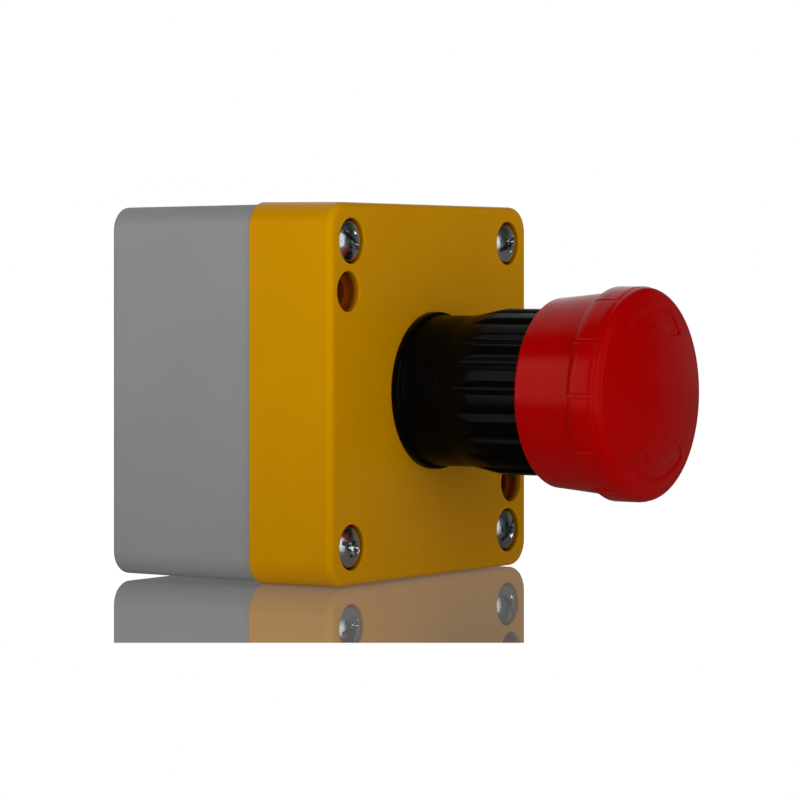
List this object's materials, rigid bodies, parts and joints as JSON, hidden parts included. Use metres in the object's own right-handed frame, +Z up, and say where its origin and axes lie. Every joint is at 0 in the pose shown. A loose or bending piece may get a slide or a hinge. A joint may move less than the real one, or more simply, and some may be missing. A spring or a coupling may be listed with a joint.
{
  "type": "emergency stop push button",
  "caption": "Surface-mounted housing with a mushroom push button that latches when pressed and lets go when it is turned clockwise.",
  "frame": {"origin": "centre of the wall-screw pattern, on the plane of the housing's back face", "axes": "+Z up; -Y out of the wall along the button's axis, so the button is pressed along +Y; +X to the right seen from the front"},
  "size_m": [0.072, 0.1013, 0.072],
  "materials": {
    "grey_housing": "satin moulded light grey",
    "yellow_lid": "satin moulded yellow",
    "red_head": "gloss moulded red",
    "black_collar": "semi-matt moulded black",
    "black_plastic": "matt moulded black",
    "white_plastic": "matt natural white",
    "block_plastic": "matt dark grey",
    "pusher_plastic": "matt red",
    "rubber": "soft black",
    "zinc_steel": "bright zinc plated",
    "spring_steel": "drawn wire",
    "brass": "stamped strip",
    "silver_tip": "silver alloy"
  },
  "bodies": {
    "housing": {"base_box": "grey_housing", "lid": "yellow_lid", "lid_gasket": "rubber", "lid_screws": "zinc_steel", "collar": "black_collar", "panel_seal": "rubber", "nut_washer": "zinc_steel", "fixing_nut": "zinc_steel", "stem_seal": "rubber", "torsion_spring": "spring_steel", "release_spring": "spring_steel", "contact_carrier": "black_plastic", "carrier_screw": "zinc_steel", "left_block_housing": "block_plastic", "right_block_housing": "block_plastic", "left_block_cover": "block_plastic", "right_block_cover": "block_plastic", "left_contact_spring": "spring_steel", "right_contact_spring": "spring_steel", "left_upper_terminal": "brass", "left_lower_terminal": "brass", "right_upper_terminal": "brass", "right_lower_terminal": "brass", "fixed_tips": "silver_tip", "clamp_plates": "zinc_steel", "terminal_screws": "zinc_steel"},
    "stem": {"stem": "white_plastic", "latch_pin": "zinc_steel", "plunger_foot": "white_plastic", "foot_screw": "zinc_steel"},
    "head": {"mushroom_cap": "red_head", "cap_insert": "black_plastic"},
    "latch_sleeve": {"latch_sleeve": "brass"},
    "left_contact": {"left_pusher": "pusher_plastic", "left_bridge": "brass", "left_moving_tips": "silver_tip"},
    "right_contact": {"right_pusher": "pusher_plastic", "right_bridge": "brass", "right_moving_tips": "silver_tip"}
  },
  "joints": [
    {"name": "head_press", "type": "slide", "parent": "housing", "child": "stem", "axis": [0, 1, 0], "range_m": [0, 0.005], "deforming": ["release_spring"]},
    {"name": "head_twist", "type": "hinge", "parent": "stem", "child": "head", "pos_m": [0, -0.09, 0], "axis": [0, 1, 0], "range_deg": [0, 40], "stiffness_Nm_per_rad": 0.1},
    {"name": "sleeve_turn", "type": "hinge", "parent": "housing", "child": "latch_sleeve", "pos_m": [0, -0.06, 0], "axis": [0, 1, 0], "range_deg": [0, 40], "deforming": ["torsion_spring"]},
    {"name": "left_contact_slide", "type": "slide", "parent": "housing", "child": "left_contact", "axis": [0, 1, 0], "range_m": [0, 0.005], "deforming": ["left_contact_spring"]},
    {"name": "right_contact_slide", "type": "slide", "parent": "housing", "child": "right_contact", "axis": [0, 1, 0], "range_m": [0, 0.005], "deforming": ["right_contact_spring"]}
  ],
  "couplings": [
    {"joint": "sleeve_turn", "follows": "head_twist", "ratio": 1},
    {"joint": "left_contact_slide", "follows": "head_press", "ratio": 1},
    {"joint": "right_contact_slide", "follows": "head_press", "ratio": 1}
  ]
}
